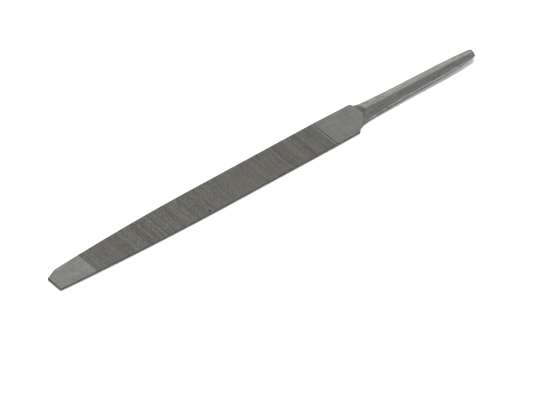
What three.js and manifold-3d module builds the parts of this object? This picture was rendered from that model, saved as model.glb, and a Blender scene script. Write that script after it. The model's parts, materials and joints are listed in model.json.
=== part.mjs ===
// A flat file without its handle: one steel forging that lies on its lower face.
// Millimetres. +X runs from the point to the end of the tang, +Y across the blade, +Z up.
// The body is drawn with the shoulder near x = 0 and then moved along X, so that the origin
// is at the centre of the bottom of its bounding box.
import * as THREE from 'three';
import { mergeVertices } from 'three/addons/utils/BufferGeometryUtils.js';
import Module from 'manifold-3d';

// ---- Driving dimensions ----

const blade = {
  thickness: 1.6,
  halfWidth: 7.02,
  heelStart: -17,
  bellyEnd: -148.3,
  bellyStep: 7,
};

// Each edge runs parallel from the heel and then bends in along a parabola, by drop at bellyEnd.
const belly = {
  near: { start: -66, drop: 2.3 },
  far: { start: -78, drop: 2.45 },
};

// The point is ground off at a skew, and its far corner is clipped.
const point = {
  nearX: -149.4,
  tip: { x: -151.5, y: 2.62 },
  farX: -147.4,
};

const cut = {
  start: -133.5,
  end: -14.2,
  pitch: 0.5,
  depth: 0.17,
  faceShare: 0.25,
  slantDegrees: 17,
};

const shoulder = {
  near: { corner: [-1.4, -6.87], chamfer: [-0.9, -6.22], bend: [0.3, -4.12] },
  far: { corner: [1.3, 6.67], chamfer: [2.3, 5.47], bend: [3.0, 4.87] },
  middleX: { corner: 0.1, chamfer: 1.4 },
  steps: 5,
  runOut: 0.4,
};

// The tang is a flattened hexagon, drawn down towards its end, rising a little and set a
// little off the centre line. At each station middleY is its centre line and ridgeY its two
// ridges. sideTop is the height of the upper edge of its upright flats and side is how tall
// they are. The upper ridge stands crown above the flats and the lower one is under below them.
const tang = {
  stations: [
    {
      x: 6, halfWidth: 4.3, middleY: 0.34, ridgeY: 1.01,
      sideTop: 1.85, side: 1.65, crown: 0.7, under: 0.15,
    },
    {
      x: 14, halfWidth: 3.87, middleY: 0.17, ridgeY: 0.67,
      sideTop: 2.35, side: 1.8, crown: 0.9, under: 0.4,
    },
    {
      x: 26, halfWidth: 3.45, middleY: 0.05, ridgeY: 0.41,
      sideTop: 2.7, side: 1.7, crown: 1, under: 0.6,
    },
    {
      x: 44, halfWidth: 3.12, middleY: -0.2, ridgeY: 0.13,
      sideTop: 3.2, side: 1.5, crown: 0.95, under: 0.75,
    },
    {
      x: 52, halfWidth: 2.74, middleY: -0.27, ridgeY: 0.02,
      sideTop: 3.4, side: 1.2, crown: 0.9, under: 0.7,
    },
    {
      x: 58.4, halfWidth: 2.2, middleY: -0.28, ridgeY: -0.03,
      sideTop: 3.45, side: 0.95, crown: 0.8, under: 0.65,
    },
    {
      x: 60, halfWidth: 1.45, middleY: -0.23, ridgeY: -0.08,
      sideTop: 3.3, side: 0.6, crown: 0.5, under: 0.4,
    },
  ],
};

// ---- The forging, as a loft through six-sided stations ----

// A station's six points, counter-clockwise when looked at from the tang's end.
function station(near, middle, far, heights) {
  return [
    [middle.x, middle.y, heights.ridgeLow],
    [far.x, far.y, heights.sideLow],
    [far.x, far.y, heights.sideHigh],
    [middle.x, middle.y, heights.ridgeHigh],
    [near.x, near.y, heights.sideHigh],
    [near.x, near.y, heights.sideLow],
  ];
}

const bladeHeights = {
  ridgeLow: 0,
  sideLow: 0,
  sideHigh: blade.thickness,
  ridgeHigh: blade.thickness,
};

// How far one edge stands from the centre line at x.
function edgeDistance(x, { start, drop }) {
  const along = Math.max(0, (start - x) / (start - blade.bellyEnd));
  return blade.halfWidth - drop * along ** 2;
}

function plainStation(x) {
  const near = { x, y: -edgeDistance(x, belly.near) };
  const far = { x, y: edgeDistance(x, belly.far) };
  return station(near, { x, y: 0 }, far, bladeHeights);
}

function pointStations() {
  const near = { x: point.nearX, y: -edgeDistance(point.nearX, belly.near) };
  const far = { x: point.farX, y: edgeDistance(point.farX, belly.far) };
  return [station(near, point.tip, far, bladeHeights)];
}

function bladeStations() {
  const stations = [];
  const steps = Math.round((belly.near.start - blade.bellyEnd) / blade.bellyStep);
  for (let step = 1; step <= steps; step += 1) {
    const x = THREE.MathUtils.lerp(blade.bellyEnd, belly.near.start, step / steps);
    stations.push(plainStation(x));
  }
  stations.push(plainStation(blade.heelStart));
  return stations;
}

function tangHeights(place) {
  const sideLow = place.sideTop - place.side;
  return {
    ridgeLow: sideLow - place.under,
    sideLow,
    sideHigh: place.sideTop,
    ridgeHigh: place.sideTop + place.crown,
  };
}

function blendHeights(from, to, share) {
  const blended = {};
  for (const name of Object.keys(from)) {
    blended[name] = THREE.MathUtils.lerp(from[name], to[name], share);
  }
  return blended;
}

// From the two corners of the heel, along concave curves, into the root of the tang.
// The flat of the blade runs out part of the way along and ramps up to the tang's facets.
function shoulderStations() {
  const { near, far, middleX, steps, runOut } = shoulder;
  const root = tang.stations[0];
  const toPoint = ([x, y]) => new THREE.Vector2(x, y);
  const flatStation = (name) => station(
    toPoint(near[name]),
    new THREE.Vector2(middleX[name], 0),
    toPoint(far[name]),
    bladeHeights,
  );
  const sweep = (side, rootY) => new THREE.QuadraticBezierCurve(
    toPoint(side.chamfer),
    toPoint(side.bend),
    new THREE.Vector2(root.x, rootY),
  );
  const nearSweep = sweep(near, root.middleY - root.halfWidth);
  const farSweep = sweep(far, root.middleY + root.halfWidth);
  const stations = [flatStation('corner'), flatStation('chamfer')];
  for (let step = 1; step <= steps; step += 1) {
    const along = step / steps;
    const rise = Math.max(0, (along - runOut) / (1 - runOut));
    const middle = new THREE.Vector2(
      THREE.MathUtils.lerp(middleX.chamfer, root.x, along),
      root.ridgeY * along,
    );
    const heights = blendHeights(bladeHeights, tangHeights(root), rise);
    stations.push(station(nearSweep.getPoint(along), middle, farSweep.getPoint(along), heights));
  }
  return stations;
}

function tangStations() {
  return tang.stations.slice(1).map((place) => station(
    { x: place.x, y: place.middleY - place.halfWidth },
    { x: place.x, y: place.ridgeY },
    { x: place.x, y: place.middleY + place.halfWidth },
    tangHeights(place),
  ));
}

// Joins neighbouring stations with quads and closes both ends with two quads each.
function loft(stations) {
  const sides = stations[0].length;
  const indices = [];
  const quad = (a, b, c, d) => indices.push(a, b, c, a, c, d);
  for (let row = 0; row < stations.length - 1; row += 1) {
    for (let side = 0; side < sides; side += 1) {
      const next = (side + 1) % sides;
      const here = row * sides;
      const there = here + sides;
      quad(here + side, here + next, there + next, there + side);
    }
  }
  const end = (stations.length - 1) * sides;
  quad(3, 2, 1, 0);
  quad(0, 5, 4, 3);
  quad(end, end + 1, end + 2, end + 3);
  quad(end + 3, end + 4, end + 5, end);
  const geometry = new THREE.BufferGeometry();
  geometry.setAttribute('position', new THREE.Float32BufferAttribute(stations.flat(2), 3));
  geometry.setIndex(indices);
  return geometry;
}

// ---- The teeth: single-cut grooves across both faces, leaning towards the point ----

// One long prism whose underside is a row of saw teeth. Its edges run along Y before it turns.
function toothCutterGeometry() {
  const slant = THREE.MathUtils.degToRad(cut.slantDegrees);
  const length = (cut.end - cut.start) * Math.cos(slant);
  const teeth = Math.round(length / cut.pitch);
  const clearance = 1;
  const reach = (cut.end - cut.start) * Math.sin(slant) + 3 * blade.halfWidth;
  const outline = new THREE.Shape();
  outline.moveTo(0, clearance);
  for (let tooth = 0; tooth < teeth; tooth += 1) {
    const root = tooth * cut.pitch;
    outline.lineTo(root, -cut.depth);
    outline.lineTo(root + cut.faceShare * cut.pitch, 0);
  }
  outline.lineTo(teeth * cut.pitch, -cut.depth);
  outline.lineTo(teeth * cut.pitch, clearance);
  outline.closePath();
  const geometry = new THREE.ExtrudeGeometry(outline, { depth: reach, bevelEnabled: false });
  geometry.translate(-length / 2, 0, -reach / 2);
  geometry.rotateX(Math.PI / 2);
  geometry.rotateZ(slant);
  geometry.translate((cut.start + cut.end) / 2, 0, 0);
  return geometry;
}

// ---- Booleans ----

const wasm = await Module();
wasm.setup();

function toSolid(geometry) {
  const bare = geometry.clone();
  bare.deleteAttribute('normal');
  bare.deleteAttribute('uv');
  const merged = mergeVertices(bare);
  return new wasm.Manifold(new wasm.Mesh({
    numProp: 3,
    vertProperties: new Float32Array(merged.getAttribute('position').array),
    triVerts: new Uint32Array(merged.getIndex().array),
  }));
}

function toGeometry(solid) {
  const mesh = solid.getMesh();
  const geometry = new THREE.BufferGeometry();
  geometry.setAttribute('position', new THREE.BufferAttribute(mesh.vertProperties, 3));
  geometry.setIndex(new THREE.BufferAttribute(mesh.triVerts, 1));
  return geometry;
}

function fileGeometry() {
  const forging = toSolid(loft([
    ...pointStations(),
    ...bladeStations(),
    ...shoulderStations(),
    ...tangStations(),
  ]));
  const upperCutter = toothCutterGeometry();
  const lowerCutter = upperCutter.clone();
  upperCutter.translate(0, 0, blade.thickness);
  lowerCutter.rotateX(Math.PI);
  return toGeometry(forging.subtract(toSolid(upperCutter)).subtract(toSolid(lowerCutter)));
}

// ---- The scene graph ----

const steel = new THREE.MeshStandardMaterial({ color: 0x8a8a85, roughness: 0.45, metalness: 0.9 });
const fileBody = new THREE.Mesh(fileGeometry(), steel);
fileBody.name = 'file_body';
fileBody.geometry.computeBoundingBox();
fileBody.position.x = -fileBody.geometry.boundingBox.getCenter(new THREE.Vector3()).x;

const flatFile = new THREE.Group();
flatFile.add(fileBody);

export default flatFile;
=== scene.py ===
"""A flat file without its handle: the looks of one steel forging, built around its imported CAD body.

Lengths in this script are in millimetres and become metres when a mesh is made.
The row frame has +X from the point to the end of the tang, +Y across the blade and +Z up.
"""

import json
import math
import random

import bmesh
import bpy
import numpy as np
from mathutils import Matrix, Vector, noise


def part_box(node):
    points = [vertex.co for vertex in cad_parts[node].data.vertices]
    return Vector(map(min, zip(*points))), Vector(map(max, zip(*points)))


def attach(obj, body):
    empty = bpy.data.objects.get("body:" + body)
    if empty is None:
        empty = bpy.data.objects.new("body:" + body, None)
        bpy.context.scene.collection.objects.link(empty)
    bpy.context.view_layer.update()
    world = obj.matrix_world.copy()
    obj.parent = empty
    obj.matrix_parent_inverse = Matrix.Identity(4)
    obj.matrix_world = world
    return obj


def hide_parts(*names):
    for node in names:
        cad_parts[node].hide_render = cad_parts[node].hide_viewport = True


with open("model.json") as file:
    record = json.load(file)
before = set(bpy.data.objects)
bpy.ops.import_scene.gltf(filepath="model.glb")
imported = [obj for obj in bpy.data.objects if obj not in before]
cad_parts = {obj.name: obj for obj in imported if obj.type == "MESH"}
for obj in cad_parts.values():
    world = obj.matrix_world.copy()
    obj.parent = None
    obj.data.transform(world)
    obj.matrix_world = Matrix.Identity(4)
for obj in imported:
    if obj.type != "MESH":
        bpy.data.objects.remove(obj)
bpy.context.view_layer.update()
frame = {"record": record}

MM = 0.001

# ---- Places and sizes that come from the frame ----

low_corner, high_corner = (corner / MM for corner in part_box("file_body"))
mounts = {mount["name"]: mount for mount in frame["record"]["mounts"]}

TIP_X = low_corner.x
TANG_END_X = high_corner.x
HALF_WIDTH = high_corner.y
RIDGE_TOP = high_corner.z
THICKNESS = mounts["heel_upper_face"]["pos_m"][2] / MM

# ---- Driving dimensions of the blade ----

TANG_LENGTH = 60.0
SHOULDER_X = TANG_END_X - TANG_LENGTH

NARROWING_START = SHOULDER_X - 17.0
BELLY_END = TIP_X + 3.2
NEAR_BELLY_START, NEAR_BELLY_DROP = SHOULDER_X - 66.0, 2.3
FAR_BELLY_START, FAR_BELLY_DROP = SHOULDER_X - 78.0, 2.45
POINT_NEAR_X = TIP_X + 2.1
POINT_TIP_Y = 2.62
POINT_FAR_X = TIP_X + 4.1
POINT_ROUNDING = 0.5
EDGE_BREAK = 0.15
END_BREAK = 0.35

# ---- The teeth ----

CUT_START = SHOULDER_X - 133.5
CUT_END = SHOULDER_X - 14.2
TOOTH_PITCH = 0.5
TOOTH_DEPTH = 0.17
TOOTH_FACE_SHARE = 0.25
TOOTH_SLANT = math.radians(17)
# The cutters' crests stand this far clear of the steel, which leaves each tooth a narrow flat.
TOOTH_LAND = 0.02
# How unlike each other the teeth are in depth, and how much of that also moves them along.
TOOTH_WANDER = 0.12
TOOTH_SHIFT = 0.3
FADING_TEETH = 2
LAST_GROOVE_DEPTH = 0.3
LAST_GROOVE_WIDTH = 0.12
LAST_BURR_WIDTH = 0.5
LAST_BURR_DROP = 0.13
EDGE_TOOTH_DEPTH = 0.07
EDGE_TOOTH_LEAN = 0.8
CUTTER_CLEARANCE = 1.0

# A small dent between the teeth, near the near edge of the upper face.
NICK = Vector((SHOULDER_X - 76.3, -5.83))
NICK_RADII = (0.6, 0.48, 0.3)

# ---- The shoulders and the tang, along X from the shoulder ----

# Plan positions of the heel's two corners, their small chamfers, and the bend of each curve.

NEAR_CORNER, NEAR_CHAMFER, NEAR_BEND = (-1.4, -6.87), (-0.9, -6.22), (0.3, -4.12)
FAR_CORNER, FAR_CHAMFER, FAR_BEND = (1.3, 6.67), (2.3, 5.47), (3.0, 4.87)
MIDDLE_CORNER_X, MIDDLE_CHAMFER_X = 0.1, 1.4

# The tang's section at each TANG_X: a flattened hexagon with upright sides and two ridges.
TANG_X = (6.0, 14.0, 26.0, 44.0, 52.0, 58.4)
TANG_MIDDLE_Y = (0.34, 0.17, 0.05, -0.2, -0.27, -0.28)
TANG_RIDGE_Y = (1.01, 0.67, 0.41, 0.13, 0.02, -0.03)
TANG_HALF_WIDTH = (4.3, 3.87, 3.45, 3.12, 2.74, 2.2)
TANG_SIDE_TOP = tuple(RIDGE_TOP - below for below in (2.45, 1.95, 1.6, 1.1, 0.9, 0.85))
TANG_SIDE = (1.65, 1.8, 1.7, 1.5, 1.2, 0.95)
TANG_CROWN = (0.7, 0.9, 1.0, 0.95, 0.9, 0.8)
TANG_UNDER = (0.15, 0.4, 0.6, 0.75, 0.7, 0.65)
TANG_STEP = 0.5
TANG_TIP_SHARE = 0.62

# The unevenness of the forging: its depth, its round dents and its long streaks.
HAMMER_MARKS = 0.035
HAMMER_FADE_IN, HAMMER_FADE_OUT = 3.0, 1.0
DENT_LENGTH, DENT_WIDTH = 4.0, 2.2
STREAK_LENGTH, STREAK_WIDTH = 9.0, 0.9
STREAK_SHIFT, STREAK_SHARE = 40, 0.5

# Where the ground flat of the heel stops and the tang begins, across the blade and along X.
RUN_OUT_Y = (-2.98, -1.68, 0.12, 1.32, 4.52)
RUN_OUT_X = (2.4, 4.6, 5.2, 4.0, 2.7)
# The hollow just past that line, on the upper near facet.
STEP_DEPTH = 0.12
STEP_START = 0.5
STEP_LENGTH = 2.4
STEP_NEAR_Y, STEP_FAR_Y = -3.2, 0.9
STEP_SIDE_FADE = 0.8
UPPER_PART = 0.75

# Where each side starts to rise to the tang's heights on the way from the chamfer to the root
# of the tang, and over how much of that way it rises.
NEAR_RISE, MIDDLE_RISE, FAR_RISE = (0.6, 0.4), (0.35, 0.65), (0.2, 0.4)
MIDDLE_PACE = 0.6

# ---- How finely the body is drawn ----

POINT_STEPS = 4
POINT_STEP = 0.1
BELLY_MARGIN = 2.0
BELLY_RINGS = 36
SHOULDER_STEPS = 28
END_STEPS = 7
CORNER_STEPS = 3
FACE_STEPS = 7
SIDE_STEPS = 2
# A rounding takes at most this share of the side next to it.
ROUNDING_LIMIT = 0.3


# ---- Small helpers ----

def smoothstep(value):
    value = min(1.0, max(0.0, value))
    return value * value * (3 - 2 * value)


def mesh_object(name, points, faces):
    """A mesh object from points in millimetres."""
    mesh = bpy.data.meshes.new(name)
    mesh.from_pydata([Vector(point) * MM for point in points], [], faces)
    mesh.update()
    made = bpy.data.objects.new(name, mesh)
    bpy.context.scene.collection.objects.link(made)
    return made


def bent_line(start, bend, end, share):
    """A point on the quadratic curve from start to end that bends towards bend."""
    return tuple(
        (1 - share) ** 2 * a + 2 * share * (1 - share) * b + share**2 * c
        for a, b, c in zip(start, bend, end)
    )


# ---- The forging: rings of points from the point of the blade to the end of the tang ----

def six_corners(near, middle, far, heights):
    """The corners of a section: plan positions, and the low and high height at each of them."""
    (near_low, near_high), (middle_low, middle_high), (far_low, far_high) = heights
    return [
        Vector((*middle, middle_low)),
        Vector((*far, far_low)),
        Vector((*far, far_high)),
        Vector((*middle, middle_high)),
        Vector((*near, near_high)),
        Vector((*near, near_low)),
    ]


def rounded_ring(corners, radii):
    """The section's corners rounded off, with each side between them in equal steps."""
    steps = (FACE_STEPS, SIDE_STEPS, FACE_STEPS, FACE_STEPS, SIDE_STEPS, FACE_STEPS)
    arcs = []
    for index, corner in enumerate(corners):
        before = corners[index - 1] - corner
        after = corners[(index + 1) % len(corners)] - corner
        start_distance = min(radii[index], ROUNDING_LIMIT * before.length)
        end_distance = min(radii[index], ROUNDING_LIMIT * after.length)
        start = corner + before.normalized() * start_distance
        end = corner + after.normalized() * end_distance
        arcs.append([
            Vector(bent_line(start, corner, end, step / CORNER_STEPS))
            for step in range(CORNER_STEPS + 1)
        ])
    ring = []
    for index, arc in enumerate(arcs):
        ring.extend(arc)
        onward = arcs[(index + 1) % len(arcs)][0]
        ring.extend(
            arc[-1].lerp(onward, step / steps[index]) for step in range(1, steps[index])
        )
    return ring


def edge_distance(x, start, drop):
    """How far one edge of the blade stands from its centre line at x."""
    along = max(0.0, (start - x) / (start - BELLY_END))
    return HALF_WIDTH - drop * along**2


def near_edge(x):
    return -edge_distance(x, NEAR_BELLY_START, NEAR_BELLY_DROP)


def far_edge(x):
    return edge_distance(x, FAR_BELLY_START, FAR_BELLY_DROP)


FLAT = ((0.0, THICKNESS), (0.0, THICKNESS), (0.0, THICKNESS))
# The rounding of a section's corners, in the order that six_corners gives them.
BLADE_RADII = (0.1, EDGE_BREAK, 1.4 * EDGE_BREAK, 0.1, EDGE_BREAK, EDGE_BREAK)
TANG_RADII = (0.5, 0.35, 0.8, 0.5, 0.9, 0.35)


def point_rings():
    """The ground end, with a small chamfer round it, and its far corner rounded in plan."""
    near = Vector((POINT_NEAR_X, near_edge(POINT_NEAR_X)))
    tip = Vector((TIP_X, POINT_TIP_Y))
    far = Vector((POINT_FAR_X, far_edge(POINT_FAR_X)))
    before_far = far + (tip - far).normalized() * POINT_ROUNDING
    after_far = Vector((far.x + POINT_ROUNDING, far_edge(far.x + POINT_ROUNDING)))
    inset = ((END_BREAK, THICKNESS - END_BREAK),) * 3
    outer = six_corners(
        near + Vector((0, END_BREAK)), tip, before_far + Vector((0, -END_BREAK)), inset
    )
    rings = [rounded_ring(outer, BLADE_RADII)]
    for step in range(POINT_STEPS + 1):
        inward = Vector((END_BREAK + POINT_STEP * step, 0))
        rounded = Vector(bent_line(before_far, far, after_far, step / POINT_STEPS))
        corners = six_corners(near + inward, tip + inward, rounded + Vector((END_BREAK, 0)), FLAT)
        rings.append(rounded_ring(corners, BLADE_RADII))
    return rings


def blade_rings():
    places = list(np.linspace(POINT_FAR_X + BELLY_MARGIN, NEAR_BELLY_START, BELLY_RINGS))
    places.append(NARROWING_START)
    rings = []
    for x in places:
        corners = six_corners((x, near_edge(x)), (x, 0), (x, far_edge(x)), FLAT)
        rings.append(rounded_ring(corners, BLADE_RADII))
    return rings


def tang_section(x):
    """The tang's near side, ridge and far side across, and its heights, at x."""
    half, middle_y, ridge_y, side_top, side, crown, under = (
        float(np.interp(x, TANG_X, values))
        for values in (
            TANG_HALF_WIDTH,
            TANG_MIDDLE_Y,
            TANG_RIDGE_Y,
            TANG_SIDE_TOP,
            TANG_SIDE,
            TANG_CROWN,
            TANG_UNDER,
        )
    )
    side_low = side_top - side
    sides = (side_low, side_top)
    ridges = (side_low - under, side_top + crown)
    return middle_y - half, ridge_y, middle_y + half, (sides, ridges, sides)


def run_out_shares(along):
    """How much of the tang's own heights the near side, the middle and the far side have."""
    rises = (NEAR_RISE, MIDDLE_RISE, FAR_RISE)
    return [smoothstep((along - start) / length) for start, length in rises]


def shoulder_rings():
    """From the corners of the heel, along concave curves, off the heel's flat into the tang."""
    root_x = TANG_X[0]
    near_y, ridge_y, far_y, root_heights = tang_section(root_x)
    near_root = (root_x, near_y)
    far_root = (root_x, far_y)
    plans = [
        (NEAR_CORNER, (MIDDLE_CORNER_X, 0), FAR_CORNER, 0.0),
        (NEAR_CHAMFER, (MIDDLE_CHAMFER_X, 0), FAR_CHAMFER, 0.0),
    ]
    for step in range(1, SHOULDER_STEPS + 1):
        along = step / SHOULDER_STEPS
        middle_x = MIDDLE_CHAMFER_X + (root_x - MIDDLE_CHAMFER_X) * along**MIDDLE_PACE
        plans.append((
            bent_line(NEAR_CHAMFER, NEAR_BEND, near_root, along),
            (middle_x, ridge_y * along),
            bent_line(FAR_CHAMFER, FAR_BEND, far_root, along),
            along,
        ))
    rings = []
    for near, middle, far, along in plans:
        shares = run_out_shares(along)
        heights = [
            [a + (b - a) * share for a, b in zip(flat, root)]
            for flat, root, share in zip(FLAT, root_heights, shares)
        ]
        radii = [a + (b - a) * shares[1] for a, b in zip(BLADE_RADII, TANG_RADII)]
        shifted = [Vector(place) + Vector((SHOULDER_X, 0)) for place in (near, middle, far)]
        rings.append(rounded_ring(six_corners(*shifted, heights), radii))
    return rings


def tang_rings():
    rings = []
    for x in np.arange(TANG_X[0] + TANG_STEP, TANG_X[-1], TANG_STEP):
        near_y, ridge_y, far_y, heights = tang_section(x)
        place = SHOULDER_X + x
        corners = six_corners((place, near_y), (place, ridge_y), (place, far_y), heights)
        rings.append(rounded_ring(corners, TANG_RADII))
    return rings


def tang_end_rings():
    """The blunt end, rounded over by shrinking the last section along a quarter turn."""
    *across, heights = tang_section(TANG_X[-1])
    start = SHOULDER_X + TANG_X[-1]
    middle_y = TANG_MIDDLE_Y[-1]
    middle_height = sum(heights[1]) / 2
    rings = []
    for turn in range(END_STEPS + 1):
        angle = math.pi / 2 * turn / END_STEPS
        share = TANG_TIP_SHARE + (1 - TANG_TIP_SHARE) * math.cos(angle)
        place = start + (TANG_END_X - start) * math.sin(angle)
        shrunk = [
            [middle_height + (height - middle_height) * share for height in pair]
            for pair in heights
        ]
        sides = [(place, middle_y + (y - middle_y) * share) for y in across]
        corners = six_corners(*sides, shrunk)
        rings.append(rounded_ring(corners, [radius * share for radius in TANG_RADII]))
    return rings


def hammer(point):
    """A tang point moved in by the shallow unevenness that forging leaves."""
    x, y, z = point
    fade_in = smoothstep((x - SHOULDER_X - TANG_X[0]) / HAMMER_FADE_IN)
    fade = fade_in * smoothstep((TANG_END_X - x) / HAMMER_FADE_OUT)
    dents = noise.noise(Vector((x / DENT_LENGTH, y / DENT_WIDTH, z / DENT_WIDTH)))
    streaks = noise.noise(
        Vector((x / STREAK_LENGTH, y / STREAK_WIDTH, z / STREAK_WIDTH + STREAK_SHIFT))
    )
    inward = HAMMER_MARKS * fade * (1 + dents + STREAK_SHARE * streaks)
    across = Vector((0, y - TANG_MIDDLE_Y[-1], z - THICKNESS))
    return point - across.normalized() * inward


def grinding_step(point):
    """A point lowered by the shallow hollow just past the heel's flat, on the near facet."""
    past = point.x - SHOULDER_X - float(np.interp(point.y, RUN_OUT_Y, RUN_OUT_X))
    from_far = smoothstep((STEP_FAR_Y - point.y) / STEP_SIDE_FADE)
    on_facet = from_far * smoothstep((point.y - STEP_NEAR_Y) / STEP_SIDE_FADE)
    upper = 1.0 if point.z > THICKNESS * UPPER_PART else 0.0
    hollow = smoothstep(past / STEP_START) * (1 - smoothstep((past - STEP_START) / STEP_LENGTH))
    return point - Vector((0, 0, STEP_DEPTH * upper * on_facet * hollow))


def make_forging():
    blade = point_rings() + blade_rings() + shoulder_rings()
    tang = [[hammer(point) for point in ring] for ring in tang_rings() + tang_end_rings()]
    rings = [[grinding_step(point) for point in ring] for ring in blade + tang]
    size = len(rings[0])
    # The point bends at its tip, so its end is closed in two flat halves that meet there.
    low = 1
    high = low + size // 2
    far_half = tuple(range(high, low - 1, -1))
    near_half = (low, 0, *range(size - 1, high - 1, -1))
    faces = [far_half, near_half]
    for row in range(len(rings) - 1):
        here = row * size
        for index in range(size):
            after = (index + 1) % size
            faces.append((here + index, here + after, here + size + after, here + size + index))
    last = (len(rings) - 1) * size
    faces.append(tuple(range(last, last + size)))
    points = [point for ring in rings for point in ring]
    return mesh_object("flat_file", points, faces)


# ---- The teeth: prisms with a toothed side, cut out of the forging ----

def prism(name, outline, sweep):
    """A closed prism: the outline's points, then the same points moved by sweep.

    The outline runs clockwise when it is looked at from the far end of the sweep, so that every
    face looks outwards. The other way round, the cut leaves faces that look into the steel.
    """
    size = len(outline)
    points = [Vector(point) for point in outline]
    points += [point + sweep for point in points]
    faces = [tuple(range(size)), tuple(range(2 * size - 1, size - 1, -1))]
    for index in range(size):
        after = (index + 1) % size
        faces.append((after, index, size + index, size + after))
    return mesh_object(name, points, faces)


def face_cutter(name, seed):
    """Saw teeth that cut a face: steep fronts look towards the point of the blade.

    The first tooth is shallower, no two are quite alike, and a deeper groove with a low burr
    behind it ends them at the heel.
    """
    chance = random.Random(seed)
    length = (CUT_END - CUT_START) * math.cos(TOOTH_SLANT)
    teeth = round(length / TOOTH_PITCH)
    reach = (CUT_END - CUT_START) * math.sin(TOOTH_SLANT) + 3 * HALF_WIDTH
    end = teeth * TOOTH_PITCH
    outline = [Vector((0, 0, CUTTER_CLEARANCE))]
    for tooth in range(teeth - 2):
        uneven = chance.uniform(-TOOTH_WANDER, TOOTH_WANDER)
        depth = TOOTH_DEPTH * (1 + uneven) * min(1.0, (tooth + 1) / FADING_TEETH)
        root = (tooth + TOOTH_SHIFT * uneven) * TOOTH_PITCH if tooth else 0.0
        crest = root + TOOTH_FACE_SHARE * TOOTH_PITCH
        outline.append(Vector((root, 0, -depth)))
        outline.append(Vector((crest, 0, TOOTH_LAND)))
    burr = end - LAST_BURR_WIDTH
    outline.append(Vector((burr - LAST_GROOVE_WIDTH, 0, -LAST_GROOVE_DEPTH)))
    outline.append(Vector((burr, 0, 0)))
    outline.append(Vector((end, 0, -LAST_BURR_DROP)))
    outline.append(Vector((end, 0, CUTTER_CLEARANCE)))
    cutter = prism(name, outline, Vector((0, reach, 0)))
    cutter.data.transform(Matrix.Translation(Vector((-length / 2, -reach / 2, 0)) * MM))
    cutter.data.transform(Matrix.Rotation(TOOTH_SLANT, 4, "Z"))
    cutter.data.transform(Matrix.Translation(Vector(((CUT_START + CUT_END) / 2, 0, 0)) * MM))
    return cutter


def edge_cutter(name, edge, outward):
    """Fine leaning grooves down one narrow side of the blade, along the curve of its belly.

    outward is 1 for the far side, which looks along +Y, and -1 for the near side.
    """
    teeth = round((CUT_END - CUT_START) / TOOTH_PITCH)
    below = -CUTTER_CLEARANCE
    clear = outward * CUTTER_CLEARANCE
    outline = [Vector((CUT_START, edge(CUT_START) + clear, below))]
    for tooth in range(teeth):
        root = CUT_START + tooth * TOOTH_PITCH
        crest = root + TOOTH_FACE_SHARE * TOOTH_PITCH
        outline.append(Vector((root, edge(root) - outward * EDGE_TOOTH_DEPTH, below)))
        outline.append(Vector((crest, edge(crest) + outward * TOOTH_LAND, below)))
    outline.append(Vector((CUT_END, edge(CUT_END) + clear, below)))
    # As drawn, the near side's outline is clockwise from above, and the far side's is not.
    if outward > 0:
        outline.reverse()
    return prism(name, outline, Vector((EDGE_TOOTH_LEAN, 0, THICKNESS + 2 * CUTTER_CLEARANCE)))


def nick_cutter():
    """A flattened ball that leaves the dent."""
    ball = bmesh.new()
    bmesh.ops.create_icosphere(ball, subdivisions=2, radius=MM)
    bmesh.ops.scale(ball, vec=NICK_RADII, verts=ball.verts)
    bmesh.ops.translate(ball, vec=Vector((*NICK, THICKNESS)) * MM, verts=ball.verts)
    cutter = mesh_object("nick", [], [])
    ball.to_mesh(cutter.data)
    ball.free()
    return cutter


def make_cutters():
    upper = face_cutter("upper_teeth", 3)
    lower = face_cutter("lower_teeth", 4)
    upper.data.transform(Matrix.Translation((0, 0, THICKNESS * MM)))
    lower.data.transform(Matrix.Rotation(math.pi, 4, "X"))
    near = edge_cutter("near_edge_teeth", near_edge, -1)
    far = edge_cutter("far_edge_teeth", far_edge, 1)
    return [upper, lower, near, far, nick_cutter()]


def cut_away(body, cutters):
    """Takes the cutters out of the body and removes them."""
    for cutter in cutters:
        modifier = body.modifiers.new(cutter.name, "BOOLEAN")
        modifier.object = cutter
        modifier.operation = "DIFFERENCE"
        modifier.solver = "MANIFOLD"
    evaluated = body.evaluated_get(bpy.context.evaluated_depsgraph_get())
    cut_mesh = bpy.data.meshes.new_from_object(evaluated)
    body.modifiers.clear()
    body.data = cut_mesh
    for cutter in cutters:
        bpy.data.objects.remove(cutter)


# ---- Materials ----

def add_node(tree, kind, inputs, **settings):
    """Adds a shader node, sets its settings, and fills or links its inputs."""
    made = tree.nodes.new(kind)
    for name, value in settings.items():
        setattr(made, name, value)
    for name, value in inputs.items():
        if isinstance(value, bpy.types.NodeSocket):
            tree.links.new(value, made.inputs[name])
        else:
            made.inputs[name].default_value = value
    return made


def wander(tree, size, shift, detail=3.0):
    """Noise between about -1 and 1, in patches of size millimetres along X, Y and Z."""
    place = add_node(tree, "ShaderNodeTexCoord", {}).outputs["Object"]
    scale = [1 / (length * MM) for length in size]
    offset = (shift, 2.0 * shift, -shift)
    scaled = add_node(
        tree, "ShaderNodeVectorMath", {0: place, 1: scale, 2: offset}, operation="MULTIPLY_ADD"
    )
    pattern = add_node(
        tree, "ShaderNodeTexNoise", {"Vector": scaled.outputs[0], "Scale": 1.0, "Detail": detail}
    )
    spread = {"Value": pattern.outputs["Fac"], "From Min": 0.3, "From Max": 0.7, "To Min": -1.0}
    return add_node(tree, "ShaderNodeMapRange", spread).outputs["Result"]


def about(tree, middle, layers):
    """A number that moves about middle: each layer is a noise and how much it counts."""
    total = middle
    for layer, amount in layers:
        sums = {0: layer, 1: amount, 2: total}
        total = add_node(tree, "ShaderNodeMath", sums, operation="MULTIPLY_ADD").outputs[0]
    return total


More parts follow.
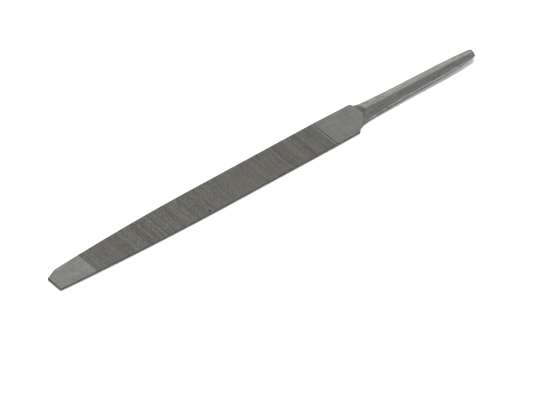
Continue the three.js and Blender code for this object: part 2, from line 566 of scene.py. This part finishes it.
def steel(name, colour, tone, roughness, height, depth):
    """Bare steel: tone scales the colour, and height is raised by depth millimetres."""
    material = bpy.data.materials.new(name)
    material.use_nodes = True
    tree = material.node_tree
    shader = tree.nodes["Principled BSDF"]
    shader.inputs["Metallic"].default_value = 1.0
    scaled = add_node(
        tree, "ShaderNodeVectorMath", {0: colour, "Scale": tone(tree)}, operation="SCALE"
    )
    raised = add_node(tree, "ShaderNodeBump", {"Height": height(tree), "Distance": depth * MM})
    tree.links.new(scaled.outputs[0], shader.inputs["Base Color"])
    tree.links.new(roughness(tree), shader.inputs["Roughness"])
    tree.links.new(raised.outputs["Normal"], shader.inputs["Normal"])
    return material


def ground_steel(name, colour):
    """The smooth point or heel: fine grinding lines along the blade, with soft mottling."""
    def tone(tree):
        return about(tree, 1.0, [
            (wander(tree, (9.0, 0.9, 9.0), 3.0), 0.08),
            (wander(tree, (3.0, 2.5, 9.0), 7.0), 0.09),
            (wander(tree, (1.2, 0.3, 9.0), 11.0), 0.12),
        ])

    def roughness(tree):
        return about(tree, 0.42, [(wander(tree, (4.0, 0.3, 9.0), 5.0), 0.05)])

    def height(tree):
        return wander(tree, (3.0, 0.1, 9.0), 11.0)

    return steel(name, colour, tone, roughness, height, 0.002)


def cut_steel():
    """The teeth: crests painted lighter and roots darker, partly as wear and partly as painted
    highlight and painted shade, and a tone that differs from tooth to tooth.
    """
    def tone(tree):
        place = add_node(tree, "ShaderNodeTexCoord", {}).outputs["Object"]
        height = add_node(tree, "ShaderNodeSeparateXYZ", {"Vector": place}).outputs["Z"]
        middle = THICKNESS / 2 * MM
        from_middle = add_node(tree, "ShaderNodeMath", {0: height, 1: middle}, operation="SUBTRACT")
        reach = add_node(
            tree, "ShaderNodeMath", {0: from_middle.outputs[0]}, operation="ABSOLUTE"
        ).outputs[0]
        # Lighter towards the crests and darker towards the roots: partly wear, partly a painted
        # highlight on the crests and painted shade in the roots.
        ends = {"From Min": middle - TOOTH_DEPTH * MM, "From Max": middle, "To Min": -1.0}
        crest = add_node(tree, "ShaderNodeMapRange", {"Value": reach, **ends}).outputs["Result"]
        return about(tree, 1.0, [
            (crest, 0.18),
            (wander(tree, (0.6, 1.6, 9.0), 13.0), 0.10),
            (wander(tree, (7.0, 4.0, 9.0), 17.0), 0.04),
            (wander(tree, (0.4, 0.4, 0.4), 19.0), 0.10),
        ])

    def roughness(tree):
        return about(tree, 0.46, [(wander(tree, (0.5, 0.5, 0.5), 23.0), 0.06)])

    def height(tree):
        return wander(tree, (0.15, 0.15, 0.15), 29.0)

    return steel("cut_steel", (0.252, 0.246, 0.226), tone, roughness, height, 0.003)


def forged_steel():
    """The tang: scale streaks drawn out along it, small dark pits, and dull patches."""
    def tone(tree):
        pits = wander(tree, (1.1, 0.8, 0.8), 31.0, 1.0)
        ends = {"Value": pits, "From Min": -1.0, "From Max": -0.75, "To Min": -1.0, "To Max": 0.0}
        pit = add_node(tree, "ShaderNodeMapRange", ends).outputs["Result"]
        return about(tree, 1.0, [
            (wander(tree, (14.0, 0.5, 0.8), 37.0), 0.14),
            (wander(tree, (3.0, 1.2, 1.2), 41.0), 0.12),
            (wander(tree, (0.7, 0.4, 0.4), 43.0), 0.10),
            (pit, 0.30),
        ])

    def roughness(tree):
        return about(tree, 0.44, [(wander(tree, (2.5, 0.8, 0.8), 47.0), 0.07)])

    def height(tree):
        return wander(tree, (1.6, 0.5, 0.5), 53.0)

    return steel("forged_steel", (0.225, 0.226, 0.214), tone, roughness, height, 0.012)


def shaded_side_steel():
    """The narrow sides and the ends: darker, partly as the forging's scale and partly as painted
    shade, with upright grinding marks.
    """
    def tone(tree):
        return about(tree, 1.0, [
            (wander(tree, (0.6, 0.6, 2.0), 59.0), 0.15),
            (wander(tree, (6.0, 6.0, 1.0), 61.0), 0.10),
        ])

    def roughness(tree):
        return about(tree, 0.5, [(wander(tree, (0.5, 0.5, 0.5), 67.0), 0.06)])

    def height(tree):
        return wander(tree, (0.2, 0.2, 1.5), 71.0)

    return steel("shaded_side_steel", (0.088, 0.088, 0.083), tone, roughness, height, 0.004)


# The last zone is the darker steel, painted as shade on faces that look sideways or away.
POINT, HEEL, CUT, FORGED, SHADED_SIDE = range(5)

# How far a face's normal leans, as one of its parts, before the face counts as a side or an end.
# Sides and ends take the darker steel, partly as the forging's scale and partly as painted shade; on
# the tang's far side it starts at a smaller lean, which paints a dark outline along that edge.
RIM_LEAN = 0.25
END_LEAN = 0.3
NEAR_SIDE_TILT, FAR_SIDE_TILT = 0.3, 0.9
SHOULDER_TILT = 0.6
UPRIGHT_TILT = 0.1
RIM_WIDTH = 0.5
SHOULDER_REACH = 2.0
BLUNT_END_LENGTH = 1.2
SHARP_ANGLE = math.radians(28)


def tang_zone(x, normal):
    """The tang's facets and its near upper edge are forged; what looks away, and the blunt end, take
    the darker side steel as painted shade, on the far side from a smaller lean.
    """
    blunt_end = x > TANG_END_X - BLUNT_END_LENGTH and normal.x > END_LEAN
    tilt = FAR_SIDE_TILT if normal.y > 0 else NEAR_SIDE_TILT
    return SHADED_SIDE if blunt_end or abs(normal.z) < tilt else FORGED


def zone(centre, normal):
    """Which material a face takes, from its place in millimetres and the way it looks."""
    x, y, z = centre
    if x - SHOULDER_X > np.interp(y, RUN_OUT_Y, RUN_OUT_X):
        return tang_zone(x, normal)
    # The dent takes the darker side steel, as painted shade in it.
    if z > THICKNESS / 2 and (Vector((x, y)) - NICK).length < max(NICK_RADII):
        return SHADED_SIDE
    lean = y * math.tan(TOOTH_SLANT)
    along = x + lean if z > THICKNESS / 2 else x - lean
    if along < CUT_START:
        # At the point, faces that look towards the end or the near side take the darker steel as
        # painted shade.
        leans = normal.x < -END_LEAN or normal.y < -END_LEAN
        return SHADED_SIDE if leans or abs(normal.z) < UPRIGHT_TILT else POINT
    # So do the shoulders' walls and the blade's rims, as painted shade.
    at_shoulder = x > SHOULDER_X - SHOULDER_REACH and abs(normal.z) < SHOULDER_TILT
    on_rim = y < near_edge(x) + RIM_WIDTH or y > far_edge(x) - RIM_WIDTH
    if at_shoulder or on_rim and abs(normal.y) > RIM_LEAN:
        return SHADED_SIDE
    return CUT if along < CUT_END - LAST_BURR_WIDTH else HEEL


def paint(body):
    """Gives the body its five steels face by face, the darker side steel among them as painted shade,
    and smooth shading that keeps its edges.
    """
    body.data.materials.clear()
    point = ground_steel("point_steel", (0.272, 0.272, 0.258))
    heel = ground_steel("heel_steel", (0.203, 0.203, 0.191))
    for material in (point, heel, cut_steel(), forged_steel(), shaded_side_steel()):
        body.data.materials.append(material)
    for face in body.data.polygons:
        face.material_index = zone(face.center / MM, face.normal)
    body.data.set_sharp_from_angle(angle=SHARP_ANGLE)
    body.modifiers.new("face_weighted_shading", "WEIGHTED_NORMAL").keep_sharp = True


# ---- The studio ----

PANEL_DISTANCE = 3.5  # metres
SUN_WIDTH = math.radians(18)
FLOOR_REACH = 3000.0


def make_camera():
    camera = bpy.data.objects.new("camera", bpy.data.cameras.new("camera"))
    bpy.context.scene.collection.objects.link(camera)
    azimuth, elevation, distance = math.radians(31.025), math.radians(65), 2200.0
    view_width = 228.3
    target = Vector((-6.72, -13.33, 0.0))
    forward = Vector((
        math.sin(azimuth) * math.cos(elevation),
        math.cos(azimuth) * math.cos(elevation),
        -math.sin(elevation),
    ))
    camera.location = (target - forward * distance) * MM
    camera.rotation_euler = forward.to_track_quat("-Z", "Y").to_euler()
    camera.data.sensor_width = 36
    camera.data.lens = camera.data.sensor_width * distance / view_width
    camera.data.clip_end = 20
    bpy.context.scene.camera = camera


def soft_panel(name, towards, width, height, radiance):
    """A soft panel that looks at the object. Its sizes are for a panel one metre away."""
    light = bpy.data.objects.new(name, bpy.data.lights.new(name, "AREA"))
    bpy.context.scene.collection.objects.link(light)
    light.location = Vector(towards).normalized() * PANEL_DISTANCE
    light.rotation_euler = (-Vector(towards)).to_track_quat("-Z", "Y").to_euler()
    light.data.shape = "RECTANGLE"
    light.data.size = width * PANEL_DISTANCE
    light.data.size_y = height * PANEL_DISTANCE
    light.data.energy = math.pi * light.data.size * light.data.size_y * radiance


def make_sun(towards, strength):
    """A wide lamp far away that lights the floor and casts shadows, with no glint in the steel."""
    sun = bpy.data.objects.new("sun", bpy.data.lights.new("sun", "SUN"))
    bpy.context.scene.collection.objects.link(sun)
    sun.rotation_euler = Vector(towards).to_track_quat("Z", "Y").to_euler()
    sun.data.angle = SUN_WIDTH
    sun.data.energy = strength
    sun.visible_glossy = False


def make_studio():
    reach = FLOOR_REACH
    corners = [(-reach, -reach, 0), (reach, -reach, 0), (reach, reach, 0), (-reach, reach, 0)]
    floor = mesh_object("floor", corners, [(0, 1, 2, 3)])
    paper = bpy.data.materials.new("paper")
    paper.use_nodes = True
    shader = paper.node_tree.nodes["Principled BSDF"]
    shader.inputs["Base Color"].default_value = (0.8, 0.8, 0.8, 1)
    shader.inputs["Roughness"].default_value = 0.9
    floor.data.materials.append(paper)
    world = bpy.data.worlds.new("studio")
    world.use_nodes = True
    world.node_tree.nodes["Background"].inputs["Color"].default_value = (1, 1, 1, 1)
    world.node_tree.nodes["Background"].inputs["Strength"].default_value = 0.5
    bpy.context.scene.world = world
    soft_panel("back", (0.22, 0.80, 0.55), 0.9, 0.8, 1.4)
    soft_panel("key", (0.62, 0.27, 0.72), 0.4, 0.4, 3.2)
    soft_panel("front", (0.20, -0.78, 0.60), 0.5, 0.25, 6.0)
    make_sun((0.20, 0.29, 0.86), 3.6)
    bpy.context.scene.view_settings.view_transform = "Standard"


make_camera()
flat_file = make_forging()
cut_away(flat_file, make_cutters())
paint(flat_file)
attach(flat_file, "root")
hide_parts("file_body")
make_studio()
